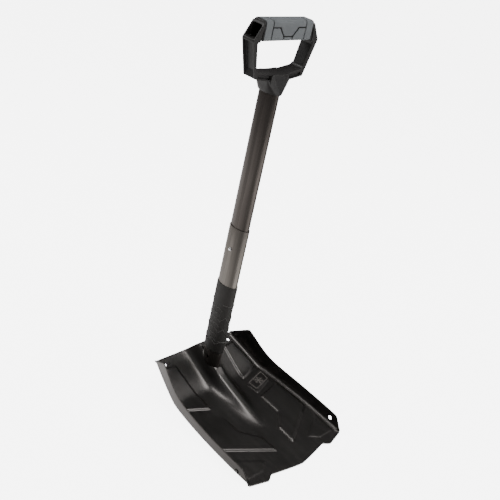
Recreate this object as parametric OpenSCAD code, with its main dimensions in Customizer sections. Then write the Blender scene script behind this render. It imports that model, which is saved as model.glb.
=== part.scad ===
// Two-piece snow shovel for camp and trail use, set up with its blade across the shaft.
// The frame stands on the ground: +Z runs up along the shaft, +X across the blade,
// and -Y from the shaft towards the cutting edge. All lengths are millimetres.

/* [Blade] */
// Length of the blade from its back edge to the tip, measured level
blade_len = 286; // [270:1:300]
// Distance from the shaft axis back to the blade's back edge
back_reach = 46; // [44:1:50]
// Greatest half width of the floor, at the fold to the side walls
floor_half_w = 112.3; // [104:0.1:120]
// Thickness of the blade sheet
sheet_t = 2; // [1.6:0.1:2.4]
// Slope of the back part of the floor, degrees
back_slope = 23.7; // [20:0.1:26]
// Slope of the front part of the floor, degrees
front_slope = 2.6; // [1:0.1:4]
// Height of the socket tunnel above the floor
tunnel_h = 27; // [25:0.5:29]
// Half width of the tunnel at half its height
tunnel_half_w = 15; // [14.5:0.1:17]
// Diameter of the two lashing holes in the floor's back corners
back_hole_d = 6; // [4:0.5:8]
// Diameter of the two lashing holes in the side walls
side_hole_d = 8; // [5:0.5:9]

/* [Shaft] */
// Height of the lower tube's top edge above the ground
collar_z = 317.5; // [300:0.5:330]
// Half of the upper tube's outer width, across the blade
upper_a = 10.41; // [9:0.01:12]
// Half of the upper tube's outer depth, fore and aft
upper_b = 19; // [17:0.01:21]
// Wall thickness of both tubes
wall_t = 1.15; // [1:0.05:1.15]
// Sliding gap between the upper and lower tubes, all round
slide_gap = 0.09; // [0.05:0.01:0.1]
// Thickness of the rubber grip sleeve
sleeve_t = 1.95; // [1.5:0.05:2.5]
// Distance that the upper tube slides into the lower one
telescope_travel = 219; // [200:1:219]

/* [Handle] */
// Height of the grip's top above the lower tube's top edge
grip_top = 333.7; // [325:0.1:340]
// Half of the handle's greatest width
handle_half_w = 66.8; // [60:0.1:70]
// Depth of the handle, fore and aft
handle_depth = 24.5; // [22:0.5:26]
// Thickness of the rubber grip pads
pad_t = 3; // [2:0.25:3.5]

/* [Hidden] */
$fn = 48;

// The origin is under the middle of the blade, so the shaft stands behind it.
shaft_y = blade_len / 2 - back_reach;
tip_y = back_reach - blade_len;
eps = 0.01;
oval_sides = 72;

// Floor of the blade
bend_y = -32;
bend_z = 11.8;
bend_blend = 1.5;
// Side walls
fold_r = 7;
wall_lean = 0.1;
wide_y = -165;
fold_sweep = 23.3;
fold_span = 210;
fold_power = 2.2;
wall_low = [29, -114, 0.05];
wall_high = [68, 10, 0.72];
wall_blend = 8.8;
back_corner_y = 10;
front_corner_y = -211;
wall_end_y = -226.5;
edge_lip = 1.2;
cut_blend = 0.4;
// Tunnel
crest_end_y = -22;
crest_power = 1.4;
nose_start_y = -60;
nose_end_y = -149;
nose_power = 2.5;
tunnel_power = 5;
mouth_recede = 0.6;
// Lashing holes, square to the sheet
back_hole_x = 75.5;
back_hole_y = 34.8;
side_hole_y = -200;
side_hole_z = 13.5;
side_hole_turn = 1.6;

// Lower tube and what it holds
lower_a = upper_a + slide_gap + wall_t;
lower_b = upper_b + slide_gap + wall_t;
tube_end_z = 14.5;
socket_gap = 0.65;
sleeve_z0 = 74.5;
sleeve_z1 = 210.5;
button_r = 3;
button_gap = 0.05;
button_proud = 2.5;
button_tip_r = 1.9;
release_z = 19.2;
leaf_t = 0.7;
leaf_w = 8;
leaf_gap = 0.5;
release_bend_z = 33;

// Saddle under the tunnel
saddle_t = 2;
saddle_inner = lower_a + socket_gap;
saddle_depth = 17.4;
saddle_hole_gap = 0.3;
saddle_front_y = -32;
saddle_back_y = back_reach - 2;
flange_x = 36;
weld_r = 1.4;
weld_len = 14;
weld_places = [-16, 8, 32];

// Upper tube and what it holds
upper_z0 = collar_z - 49;
telescope_z = collar_z - 39;
detent_z = telescope_z - telescope_travel;
telescope_bend_z = upper_z0 + 36;
bush_t = 4;
bush_spigot = 5;
bush_gap = 0.1;

// Handle: heights above the ground and half widths of its corners
handle_y0 = -12.7;
handle_y1 = handle_y0 + handle_depth;
grip_z = collar_z + grip_top;
crown_t = 3.7;
top_z = grip_z - crown_t;
top_x = 52;
wide_z = top_z - 24.3;
foot_x = 49.9;
foot_z = top_z - 78.4;
yoke_x = 23.5;
yoke_top_z = foot_z - 4.3;
inner_top_z = top_z - 25.5;
inner_top_x = 56;
inner_foot_z = top_z - 68;
inner_foot_x = 48.2;
inner_mid_z = top_z - 73.5;
inner_r = 6;
collar_bottom_z = top_z - 103;
yoke_grow = 2.6;
collar_rim = 3.5;
block_top_x = 17.6;
block_low_x = 18.5;
block_y0 = -15;
block_y1 = 13.5;
waist_x = 13.3;
waist_y0 = -16.5;
waist_y1 = 16;
waist_z = collar_bottom_z + 9;
tube_seat = 10;
seat_gap = 0.05;
screw_z = collar_bottom_z + 5.5;
screw_r = 2;
screw_hole_gap = 0.3;
screw_head_r = 3.6;
screw_head_t = 1.2;
screw_len = 9;
core_wall = 2.6;
core_drop = 1;
web_half_t = 4;
rim_t = 2.7;
cavity_x = 54;
pocket_depth = 4.5;
pocket_ramp = 10;
rim_foot = 1;
rail_t = 3;
slot_depth = 3;
slot_x0 = 18.5;
slot_x1 = 45;
slot_lift = 1.6;
slot_h0 = 6.6;
slot_h1 = 5;
notch_depth = 2.5;
notch_gap = 2.6;
notch_foot_w = 3.4;
notch_top_w = 0.6;

// Grip pads
groove = 2;
band_gap = 0.4;
band_x0 = 34.7;
band_x1 = 48;
panel_z = top_z - 5.5;
pad_foot_z = top_z - 24;
drop_z = top_z - 18;
drop_top_x = 18;
drop_foot_x = 8;
pad_x1 = band_x0 - groove;

function lerp(a, b, t) = a + (b - a) * t;
function clamp01(t) = max(0, min(1, t));
function soft_max(a, b, k) = (a + b) / 2 + sqrt(pow((a - b) / 2, 2) + k * k);
function soft_min(a, b, k) = (a + b) / 2 - sqrt(pow((a - b) / 2, 2) + k * k);
function lean_z(row, y) = row[0] + row[2] * (y - row[1]);

// Height of the blade floor's upper face
function floor_z(y) = soft_max(bend_z + tan(back_slope) * (y - bend_y),
                               bend_z + tan(front_slope) * (y - bend_y), bend_blend);

// Half width of the floor at the fold, and top edge of the side wall
function fold_x(y) =
    floor_half_w - fold_sweep * pow(abs(y - wide_y) / fold_span, fold_power);
function wall_curve_z(y) = soft_max(lean_z(wall_high, y), lean_z(wall_low, y), wall_blend);
function back_cut_z(y) = lerp(wall_curve_z(back_corner_y), floor_z(back_reach) + edge_lip,
                              (y - back_corner_y) / (back_reach - back_corner_y));
function front_cut_z(y) = lerp(wall_curve_z(front_corner_y), floor_z(wall_end_y) + edge_lip,
                               (y - front_corner_y) / (wall_end_y - front_corner_y));
function wall_top_z(y) =
    soft_min(wall_curve_z(y), soft_min(back_cut_z(y), front_cut_z(y), cut_blend), cut_blend);

// Height of the socket tunnel above the floor
function ridge_h(y) =
    tunnel_h * pow(clamp01((y - nose_end_y) / (crest_end_y - nose_end_y)), crest_power);
function nose_part(y) = clamp01((nose_start_y - y) / (nose_start_y - nose_end_y));
function bell_w(y) = max(1, tunnel_half_w * sqrt(1 - pow(nose_part(y), nose_power)));
function tunnel_z(x, y) = ridge_h(y) / (1 + pow(abs(x) / bell_w(y), tunnel_power));

// Cutting edge: a shallow V with a square tab at each corner
tab_x0 = 62;
tab_x1 = 78;
tab_y = tip_y + 4;
vee_y = tip_y + 11;
vee_power = 1.2;
corner_y = tip_y + 12.5;
function edge_y(x) =
    x < tab_x0 ? lerp(tip_y, vee_y, pow(x / tab_x0, vee_power)) :
    x < tab_x1 ? lerp(vee_y, tab_y, (1 - cos(180 * (x - tab_x0) / (tab_x1 - tab_x0))) / 2) :
    lerp(tab_y, corner_y, (x - tab_x1) / (fold_x(wall_end_y) - tab_x1));
function back_y(x) = back_reach - mouth_recede * tunnel_z(x, back_reach);

// The sheet is a grid. Its columns run from the middle out to the top of each side wall,
// and its rows run from the back edge to the cutting edge.
floor_cols = [0, 4, 8, 11, 13.5, 16, 19, 23, 28, 36, 48, 62, 66, 70, 74, 78, 92];
fold_steps = 4;
fold_a = 84;
mouth_fade_y = 19;
edge_fade_y = -185;
fold_cols = [for (i = [0:fold_steps]) i / fold_steps];
wall_cols = [0.35, 0.7, 1];
row_ys = [46, 40, 33, 26, 19, 12, 5, -2, -9, -16, -23, -29, -35, -42, -50, -60, -72, -86,
          -100, -115, -130, -140, -149, -165, -185, -200, -211, -218, -226.5];

function sheet_point(s, col, row) =
    let(y0 = row_ys[row], xf = fold_x(y0), zf = floor_z(y0), n = len(floor_cols),
        r = min(fold_r, wall_top_z(y0) - zf), z1 = zf + r * (1 - cos(fold_a)))
    col < n ?
        let(x = floor_cols[col] * min(1, (xf - fold_r - 2) / floor_cols[n - 1]),
            recede = (back_reach - back_y(x)) * clamp01((y0 - mouth_fade_y) / (back_reach - mouth_fade_y)),
            reach = clamp01((edge_fade_y - y0) / (edge_fade_y - wall_end_y)),
            y = y0 < edge_fade_y ? lerp(edge_fade_y, edge_y(x), reach) : y0 - recede)
        [s * x, y, floor_z(y) + tunnel_z(x, y)] :
    col < n + fold_steps + 1 ?
        let(a = fold_a * fold_cols[col - n])
        [s * (xf - r + r * sin(a)), y0, zf + r * (1 - cos(a))] :
        let(w = wall_cols[col - n - fold_steps - 1], z2 = max(z1 + 0.3, wall_top_z(y0)))
        [s * (xf - r + r * sin(fold_a) + wall_lean * (z2 - z1) * w), y0, lerp(z1, z2, w)];

half_n = len(floor_cols) + len(fold_cols) + len(wall_cols);
across_n = 2 * half_n - 1;
rows_n = len(row_ys);
function grid_point(i, row) = i < half_n - 1 ? sheet_point(-1, half_n - 1 - i, row) :
                                               sheet_point(1, i - half_n + 1, row);
function unit(v) = v / max(norm(v), eps);
function grid_normal(i, row) =
    unit(cross(grid_point(min(i + 1, across_n - 1), row) - grid_point(max(i - 1, 0), row),
               grid_point(i, max(row - 1, 0)) - grid_point(i, min(row + 1, rows_n - 1))));

module sheet_shell() {
    upper = [for (row = [0:rows_n - 1]) for (i = [0:across_n - 1]) grid_point(i, row)];
    lower = [for (row = [0:rows_n - 1]) for (i = [0:across_n - 1])
             grid_point(i, row) - sheet_t * grid_normal(i, row)];
    count = len(upper);
    top_faces = [for (row = [0:rows_n - 2]) for (i = [0:across_n - 2])
                 let(a = row * across_n + i, b = a + 1, c = b + across_n, d = a + across_n)
                 each [[a, b, c], [a, c, d]]];
    low_faces = [for (f = top_faces) [f[2] + count, f[1] + count, f[0] + count]];
    rim = concat([for (i = [0:across_n - 2]) i],
                 [for (row = [0:rows_n - 2]) row * across_n + across_n - 1],
                 [for (i = [across_n - 1:-1:1]) (rows_n - 1) * across_n + i],
                 [for (row = [rows_n - 1:-1:1]) row * across_n]);
    rim_faces = [for (k = [0:len(rim) - 1])
                 let(a = rim[k], b = rim[(k + 1) % len(rim)])
                 each [[b, a, a + count], [b, a + count, b + count]]];
    polyhedron(concat(upper, lower), concat(top_faces, low_faces, rim_faces), convexity = 8);
}

// Oval section with its ends fore and aft
module oval(a, b) {
    polygon([for (i = [0:oval_sides - 1])
             let(t = 360 * (i + 0.5) / oval_sides) [a * cos(t), b * sin(t)]]);
}

module oval_tube(a, b, t, z0, z1) {
    difference() {
        translate([0, 0, z0]) linear_extrude(z1 - z0) oval(a, b);
        translate([0, 0, z0 - 1]) linear_extrude(z1 - z0 + 2) oval(a - t, b - t);
    }
}

module side_hole(r, x0, x1, z) {
    translate([x0, 0, z]) rotate([0, 90, 0]) cylinder(r = r, h = x1 - x0);
}

// Snap button: a pin with a coned tip, pointing along +X from the leaf spring's face
module snap_button(x0, x1, z) {
    tip = button_r - button_tip_r;
    side_hole(button_r, x0, x1 - tip, z);
    translate([x1 - tip, 0, z]) rotate([0, 90, 0]) cylinder(r1 = button_r, r2 = button_tip_r, h = tip);
}

// Leaf spring bent into a hairpin that presses out against both sides of a tube
module hairpin(half_w, z0, bend_z) {
    translate([0, leaf_w / 2, bend_z]) rotate([90, 0, 0]) difference() {
        cylinder(r = half_w, h = leaf_w);
        translate([0, 0, -1]) cylinder(r = half_w - leaf_t, h = leaf_w + 2);
        translate([-2 * half_w, -4 * half_w, -1]) cube([4 * half_w, 4 * half_w, leaf_w + 2]);
    }
    for (s = [0, 1]) mirror([s, 0, 0]) translate([half_w - leaf_t, -leaf_w / 2, z0])
        cube([leaf_t, leaf_w, bend_z - z0]);
}

// A flat outline given as [x, z] points, standing in the XZ plane from y0 to y1
module upright(points, y0, y1) {
    translate([0, y1, 0]) rotate([90, 0, 0]) linear_extrude(y1 - y0) polygon(points);
}

// A flat outline given as [y, z] points, standing in the YZ plane from x0 to x1
module sideways(points, x0, x1) {
    translate([x0, 0, 0]) rotate([90, 0, 90]) linear_extrude(x1 - x0) polygon(points);
}

module blade() {
    color([0.13, 0.12, 0.12]) difference() {
        sheet_shell();
        translate([0, 0, floor_z(-21) + 6]) linear_extrude(80)
            oval(lower_a + socket_gap, lower_b + socket_gap);
        for (s = [0, 1]) mirror([s, 0, 0]) {
            translate([back_hole_x, back_hole_y, floor_z(back_hole_y)]) rotate([back_slope, 0, 0])
                cylinder(d = back_hole_d, h = 12, center = true);
            translate([floor_half_w, side_hole_y, side_hole_z])
                rotate([0, 90 + atan(wall_lean), -side_hole_turn])
                    cylinder(d = side_hole_d, h = 16, center = true);
        }
    }
}

saddle_ys = [for (i = [0:8]) lerp(saddle_back_y, saddle_front_y, i / 8)];
under_gap = 0.05;
plumb = 1 / cos(back_slope);
function under_z(y) = floor_z(y) - sheet_t * plumb - under_gap;
function saddle_low(y) = max(0, floor_z(y) - (sheet_t + saddle_depth + saddle_t) * plumb);
function saddle_top(y) = max(saddle_t, floor_z(y) - (sheet_t + saddle_depth) * plumb);

module socket_saddle() {
    floor_line = [for (y = saddle_ys) [y, under_z(y)]];
    low_line = [for (y = saddle_ys) [y, saddle_low(y)]];
    top_line = [for (y = saddle_ys) [y, saddle_top(y)]];
    function back(line) = [for (i = [len(line) - 1:-1:0]) line[i]];
    x1 = saddle_inner + saddle_t;
    color([0.16, 0.15, 0.15]) difference() {
        union() {
            sideways(concat(top_line, back(low_line)), -x1, x1);
            for (s = [0, 1]) mirror([s, 0, 0]) {
                sideways(concat(floor_line, back(low_line)), saddle_inner, x1);
                sideways(concat(floor_line, [for (p = back(floor_line)) [p[0], p[1] - saddle_t]]),
                         x1 - eps, flange_x);
            }
        }
        side_hole(button_r + saddle_hole_gap, 0, flange_x + 1, release_z);
    }
}

module saddle_welds() {
    color([0.3, 0.29, 0.28])
        for (s = [-1, 1]) for (y = weld_places)
            translate([s * flange_x, y, floor_z(y) - (sheet_t + saddle_t / 2) * plumb])
                rotate([back_slope, 0, 0]) rotate([90, 0, 0])
                    cylinder(r = weld_r, h = weld_len, center = true);
}

module lower_tube() {
    color([0.42, 0.4, 0.38]) difference() {
        oval_tube(lower_a, lower_b, wall_t, tube_end_z, collar_z);
        side_hole(button_r + button_gap, 0, lower_a + 1, release_z);
        for (z = [detent_z, telescope_z])
            side_hole(button_r + button_gap, -lower_a - 1, 0, z);
    }
}

module grip_sleeve() {
    color([0.2, 0.19, 0.19])
        oval_tube(lower_a + eps + sleeve_t, lower_b + eps + sleeve_t, sleeve_t, sleeve_z0, sleeve_z1);
}

release_half_w = lower_a - wall_t - leaf_gap;
module release_spring() {
    color("silver") hairpin(release_half_w, tube_end_z + 0.7, release_bend_z);
}

module release_button() {
    color("gainsboro") snap_button(release_half_w + eps, saddle_inner + saddle_t + button_proud, release_z);
}

module upper_tube() {
    color([0.3, 0.28, 0.27]) difference() {
        oval_tube(upper_a, upper_b, wall_t, upper_z0, collar_bottom_z + tube_seat);
        side_hole(button_r + button_gap, -upper_a - 1, 0, telescope_z);
        translate([0, upper_b + 1, screw_z]) rotate([90, 0, 0])
            cylinder(r = screw_r + screw_hole_gap, h = 6);
    }
}

module upper_tube_bush() {
    color([0.08, 0.08, 0.08]) {
        translate([0, 0, upper_z0 - bush_t]) linear_extrude(bush_t) oval(upper_a, upper_b);
        translate([0, 0, upper_z0 - eps]) linear_extrude(bush_spigot)
            oval(upper_a - wall_t - bush_gap, upper_b - wall_t - bush_gap);
    }
}

telescope_half_w = upper_a - wall_t - leaf_gap;
module telescope_spring() {
    color("silver") hairpin(telescope_half_w, upper_z0 + bush_spigot + 0.5, telescope_bend_z);
}

module telescope_button() {
    color("gainsboro") mirror([1, 0, 0])
        snap_button(telescope_half_w + eps, lower_a + button_proud, telescope_z);
}

// Corner points of a symmetric outline, given its right half from top to bottom
function both_sides(half) =
    concat(half, [for (i = [len(half) - 1:-1:0]) [-half[i][0], half[i][1]]]);
function arc(cx, cz, r, a0, a1) =
    [for (i = [0:6]) let(a = lerp(a0, a1, i / 6)) [cx + r * cos(a), cz + r * sin(a)]];

handle_outline = both_sides([[top_x, top_z], [handle_half_w, wide_z], [foot_x, foot_z],
                             [yoke_x, yoke_top_z]]);
handle_window = both_sides(concat(
    arc(inner_top_x - inner_r, inner_top_z - inner_r, inner_r, 90, 0),
    arc(inner_foot_x - inner_r, inner_foot_z + inner_r, inner_r, 0, -80),
    [[eps, inner_mid_z]]));

leg_len = norm([handle_half_w - foot_x, wide_z - foot_z]);
leg_tilt = atan2(handle_half_w - foot_x, wide_z - foot_z);

// Pocket down the outside of a leg, with a ramp at its foot
module leg_pocket() {
    low = rim_foot - leg_len;
    translate([handle_half_w, 0, wide_z]) rotate([0, leg_tilt, 0])
        upright([[-pocket_depth, -rail_t], [1, -rail_t], [1, low], [0, low],
                 [-pocket_depth, low + pocket_ramp]],
                handle_y0 + rail_t, handle_y1 - rail_t);
}

// The grip is hollow, and opens wide in the slanting corner face.
module grip_core_hollow() {
    wall = pad_t + core_wall;
    high = top_z - core_wall - core_drop;
    sideways([[handle_y0 + wall, inner_top_z + wall], [handle_y1 - wall, inner_top_z + wall],
              [handle_y1 - wall, high], [handle_y0 + wall, high]], web_half_t, handle_half_w);
    sideways([[handle_y0 + rim_t, wide_z + rim_t], [handle_y1 - rim_t, wide_z + rim_t],
              [handle_y1 - rim_t, top_z - rim_t], [handle_y0 + rim_t, top_z - rim_t]],
             cavity_x, handle_half_w);
}

// Slot along the front of the foot bar, a little above its lower edge
module foot_slot() {
    low0 = yoke_top_z + slot_lift;
    low1 = foot_z + slot_lift;
    upright([[slot_x0, low0 + slot_h0], [slot_x1, low1 + slot_h1], [slot_x1, low1], [slot_x0, low0]],
            handle_y0 - 1, handle_y0 + slot_depth);
}

// Wedge-shaped notches that part the corner block from the grip's end ring
module end_notch() {
    x = band_x1 + notch_gap;
    for (y = [handle_y0 - 1, handle_y1 - notch_depth])
        upright([[x, panel_z], [x + notch_top_w, panel_z], [x + notch_foot_w, inner_top_z - 1],
                 [x, inner_top_z - 1]], y, y + notch_depth + 1);
}

module collar_slab() {
    translate([0, 0, collar_bottom_z]) linear_extrude(collar_rim)
        oval(upper_a + yoke_grow, upper_b + yoke_grow);
}

// The yoke spreads from the tube's collar to the foot bar, and to a block before and behind it.
module yoke() {
    hull() {
        collar_slab();
        upright([[-yoke_x, yoke_top_z + 1], [yoke_x, yoke_top_z + 1], [yoke_x, yoke_top_z],
                 [-yoke_x, yoke_top_z]], handle_y0, handle_y1);
    }
    hull() {
        collar_slab();
        upright([[-block_low_x, yoke_top_z], [-block_top_x, inner_foot_z],
                 [block_top_x, inner_foot_z], [block_low_x, yoke_top_z]], block_y0, block_y1);
        upright([[-waist_x, waist_z], [waist_x, waist_z], [waist_x, waist_z + 1],
                 [-waist_x, waist_z + 1]], waist_y0, waist_y1);
    }
}

module handle_frame() {
    color([0.14, 0.13, 0.13]) difference() {
        union() {
            difference() {
                upright(handle_outline, handle_y0, handle_y1);
                grip_rebate();
            }
            yoke();
        }
        upright(handle_window, waist_y0 - 1, waist_y1 + 1);
        for (s = [0, 1]) mirror([s, 0, 0]) {
            leg_pocket();
            grip_core_hollow();
            foot_slot();
            end_notch();
        }
        translate([0, 0, collar_bottom_z - 1]) linear_extrude(tube_seat + 1)
            oval(upper_a + seat_gap, upper_b + seat_gap);
        translate([0, upper_b + 10, screw_z]) rotate([90, 0, 0])
            cylinder(r = screw_r + screw_hole_gap, h = 12);
    }
}

// The grip bar is cut back all round between the corner blocks to take the pads.
module grip_rebate() {
    x = band_x1 + band_gap;
    difference() {
        translate([-x, handle_y0 - 1, inner_top_z - 1])
            cube([2 * x, handle_depth + 2, top_z - inner_top_z + 2]);
        translate([-x - 1, handle_y0 + pad_t, inner_top_z + pad_t])
            cube([2 * x + 2, handle_depth - 2 * pad_t, top_z - inner_top_z - pad_t - core_drop]);
    }
}

module handle_screw() {
    color("dimgray") {
        translate([0, upper_b + yoke_grow + screw_head_t, screw_z]) rotate([90, 0, 0])
            cylinder(r = screw_head_r, h = screw_head_t);
        translate([0, upper_b + yoke_grow + eps, screw_z]) rotate([90, 0, 0])
            cylinder(r = screw_r, h = screw_len);
    }
}

pad_y0 = handle_y0;
pad_y1 = handle_y1;
pad_gap = 0.02;
core_y0 = handle_y0 + pad_t - pad_gap;
core_y1 = handle_y1 - pad_t + pad_gap;
core_top_z = top_z - core_drop + pad_gap;
core_low_z = inner_top_z + pad_t - pad_gap;

// Section of the grip's rubber in the YZ plane, with its long edges cut off
crown_cut = 4.6;
edge_cut = 1.4;
low_cut = 2;
skin_outline = [[pad_y0, inner_top_z + low_cut], [pad_y0 + low_cut, inner_top_z],
                [pad_y1 - low_cut, inner_top_z], [pad_y1, inner_top_z + low_cut],
                [pad_y1, grip_z - crown_cut], [pad_y1 - edge_cut, grip_z - edge_cut],
                [pad_y1 - crown_cut, grip_z], [pad_y0 + crown_cut, grip_z],
                [pad_y0 + edge_cut, grip_z - edge_cut], [pad_y0, grip_z - crown_cut]];
core_outline = [[core_y0, core_low_z], [core_y1, core_low_z], [core_y1, core_top_z],
                [core_y0, core_top_z]];

module skin(x0, x1) {
    difference() {
        sideways(skin_outline, x0, x1);
        sideways(core_outline, x0 - 1, x1 + 1);
    }
}

module band() {
    color([0.45, 0.48, 0.5]) skin(band_x0, band_x1);
}

module grip_band_left() {
    mirror([1, 0, 0]) band();
}

module grip_band_right() {
    band();
}

panel_outline = both_sides([[pad_x1, grip_z + 1], [pad_x1, panel_z], [drop_top_x, panel_z],
                            [drop_foot_x, drop_z]]);
module grip_top_panel() {
    color([0.48, 0.51, 0.53]) intersection() {
        skin(-pad_x1, pad_x1);
        upright(panel_outline, pad_y0 - 1, pad_y1 + 1);
    }
}

side_pad_outline = [[drop_top_x + groove, panel_z - groove], [pad_x1, panel_z - groove],
                    [pad_x1, pad_foot_z], [drop_foot_x + groove + 1, pad_foot_z],
                    [drop_foot_x + groove, drop_z - groove]];
centre_pad_outline = both_sides([[drop_foot_x, drop_z - groove], [drop_foot_x, pad_foot_z]]);

module pad(points, y0, y1) {
    color([0.42, 0.45, 0.47]) intersection() {
        skin(-pad_x1, pad_x1);
        upright(points, y0, y1);
    }
}

module grip_pad_front_left() {
    mirror([1, 0, 0]) pad(side_pad_outline, pad_y0 - 1, core_y0);
}

module grip_pad_front_right() {
    pad(side_pad_outline, pad_y0 - 1, core_y0);
}

module grip_pad_front_centre() {
    pad(centre_pad_outline, pad_y0 - 1, core_y0);
}

module grip_pad_rear_left() {
    mirror([1, 0, 0]) pad(side_pad_outline, core_y1, pad_y1 + 1);
}

module grip_pad_rear_right() {
    pad(side_pad_outline, core_y1, pad_y1 + 1);
}

module grip_pad_rear_centre() {
    pad(centre_pad_outline, core_y1, pad_y1 + 1);
}

// Everything is drawn about the shaft axis and then set back behind the origin.
module placed() {
    translate([0, shaft_y, 0]) children();
}

placed() blade();
placed() socket_saddle();
placed() saddle_welds();
placed() lower_tube();
placed() grip_sleeve();
placed() release_spring();
placed() release_button();
placed() upper_tube();
placed() upper_tube_bush();
placed() telescope_spring();
placed() telescope_button();
placed() handle_frame();
placed() handle_screw();
placed() grip_band_left();
placed() grip_band_right();
placed() grip_top_panel();
placed() grip_pad_front_left();
placed() grip_pad_front_right();
placed() grip_pad_front_centre();
placed() grip_pad_rear_left();
placed() grip_pad_rear_right();
placed() grip_pad_rear_centre();
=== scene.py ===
import math

import bmesh
import bpy
import numpy as np
from mathutils import Matrix, Vector


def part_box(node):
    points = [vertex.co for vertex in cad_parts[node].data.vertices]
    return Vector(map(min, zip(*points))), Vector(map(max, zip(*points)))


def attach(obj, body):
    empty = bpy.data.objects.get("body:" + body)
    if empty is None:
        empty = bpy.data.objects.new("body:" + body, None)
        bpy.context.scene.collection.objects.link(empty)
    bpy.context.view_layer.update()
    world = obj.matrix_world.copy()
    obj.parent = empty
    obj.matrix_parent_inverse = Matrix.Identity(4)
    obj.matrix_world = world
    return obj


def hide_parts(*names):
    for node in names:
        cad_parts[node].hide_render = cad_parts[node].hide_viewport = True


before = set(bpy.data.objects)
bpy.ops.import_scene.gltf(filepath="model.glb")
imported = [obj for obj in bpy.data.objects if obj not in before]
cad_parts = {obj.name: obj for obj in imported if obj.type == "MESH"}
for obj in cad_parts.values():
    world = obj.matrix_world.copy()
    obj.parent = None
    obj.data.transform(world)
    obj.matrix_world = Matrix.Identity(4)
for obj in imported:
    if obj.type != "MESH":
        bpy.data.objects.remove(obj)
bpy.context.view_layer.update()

# All shapes are worked out in millimetres about the shaft axis, with z up from the ground
# and -y towards the cutting edge, and then set into the frame in metres.
MM = 0.001
TUBE_LOW, TUBE_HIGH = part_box("lower_tube")
UPPER_LOW, UPPER_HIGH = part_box("upper_tube")
SLEEVE_LOW, SLEEVE_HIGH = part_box("grip_sleeve")
PANEL_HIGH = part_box("grip_top_panel")[1]
AXIS_Y = (TUBE_LOW.y + TUBE_HIGH.y) / 2

COLLAR_Z = TUBE_HIGH.z / MM
LOWER_A = (TUBE_HIGH.x - TUBE_LOW.x) / 2 / MM
LOWER_B = (TUBE_HIGH.y - TUBE_LOW.y) / 2 / MM
UPPER_A = (UPPER_HIGH.x - UPPER_LOW.x) / 2 / MM
UPPER_B = (UPPER_HIGH.y - UPPER_LOW.y) / 2 / MM
SLEEVE_A = (SLEEVE_HIGH.x - SLEEVE_LOW.x) / 2 / MM
SLEEVE_B = (SLEEVE_HIGH.y - SLEEVE_LOW.y) / 2 / MM
WALL_T, SHEET_T = 1.15, 2.0

# Both buttons' radius, and where they are: the telescope's is a set way below the collar,
# and its second hole is the shaft's travel below that.
BUTTON_R, BUTTON_DROP, TRAVEL = 3.0, 39, 219
TELESCOPE_Z = COLLAR_Z - BUTTON_DROP
DETENT_Z = TELESCOPE_Z - TRAVEL
RELEASE_Z = 19.2


# ---------------------------------------------------------------- mesh helpers

def in_frame(points):
    """Millimetre points about the shaft axis, as metres in the frame."""
    points = np.asarray(points, float) * MM
    points[:, 1] += AXIS_Y
    return points


def mesh_piece(name, points, faces, smooth_angle=35):
    """A mesh object from millimetre points about the shaft axis."""
    mesh = bpy.data.meshes.new(name)
    mesh.from_pydata(in_frame(points).tolist(), [], faces)
    mesh.validate()
    piece = bpy.data.objects.new(name, mesh)
    bpy.context.scene.collection.objects.link(piece)
    outward(piece)
    shade(piece, smooth_angle)
    return piece


def outward(piece):
    """Makes every face of a closed mesh point out."""
    work = bmesh.new()
    work.from_mesh(piece.data)
    bmesh.ops.recalc_face_normals(work, faces=work.faces)
    work.to_mesh(piece.data)
    work.free()


def shade(piece, angle):
    """Smooth shading with edges sharper than angle kept crisp."""
    piece.data.polygons.foreach_set("use_smooth", [True] * len(piece.data.polygons))
    piece.data.set_sharp_from_angle(angle=math.radians(angle))
    piece.data.update()


def bake_modifiers(piece):
    """Applies the piece's modifiers to its mesh."""
    bpy.context.view_layer.update()
    graph = bpy.context.evaluated_depsgraph_get()
    mesh = bpy.data.meshes.new_from_object(piece.evaluated_get(graph))
    piece.modifiers.clear()
    old = piece.data
    piece.data = mesh
    bpy.data.meshes.remove(old)


def drop(piece):
    mesh = piece.data
    bpy.data.objects.remove(piece)
    bpy.data.meshes.remove(mesh)


def combine(piece, other, operation):
    """Boolean of two closed meshes; other is used up."""
    step = piece.modifiers.new("combine", "BOOLEAN")
    step.operation = operation
    step.solver = "EXACT"
    step.object = other
    bake_modifiers(piece)
    drop(other)
    return piece


def joined(pieces):
    """One object that holds the meshes of several, as they lie."""
    work = bmesh.new()
    for piece in pieces:
        work.from_mesh(piece.data)
    work.to_mesh(pieces[0].data)
    work.free()
    for piece in pieces[1:]:
        drop(piece)
    return pieces[0]


def bevel(piece, width, segments=3, angle=40):
    step = piece.modifiers.new("bevel", "BEVEL")
    step.width = width * MM
    step.segments = segments
    step.limit_method = "ANGLE"
    step.angle_limit = math.radians(angle)
    step.use_clamp_overlap = True
    bake_modifiers(piece)


def ring_faces(rings, count, closed=False):
    """Quads between rings of count points, and from the last ring to the first if closed."""
    faces = []
    for row in range(rings if closed else rings - 1):
        after = (row + 1) % rings
        for i in range(count):
            j = (i + 1) % count
            faces.append([row * count + i, row * count + j, after * count + j, after * count + i])
    return faces


def drum_faces(count):
    """The faces of a solid between two rings of count points."""
    return [list(range(count))[::-1], list(range(count, 2 * count))] + ring_faces(2, count)


def ring_turns(count):
    return np.arange(count) * 2 * math.pi / count


def prism(name, outline, low, high, axis):
    """An outline pushed out along an axis. Outline pairs are (x, z) for "y", (y, z) for "x"
    and (x, y) for "z"."""
    place = {"x": lambda p, h: (h, p[0], p[1]), "y": lambda p, h: (p[0], h, p[1]),
             "z": lambda p, h: (p[0], p[1], h)}[axis]
    points = [place(p, h) for h in (low, high) for p in outline]
    return mesh_piece(name, points, drum_faces(len(outline)))


def oval(a, b, count=96):
    return [(a * math.cos(t), b * math.sin(t)) for t in ring_turns(count)]


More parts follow.
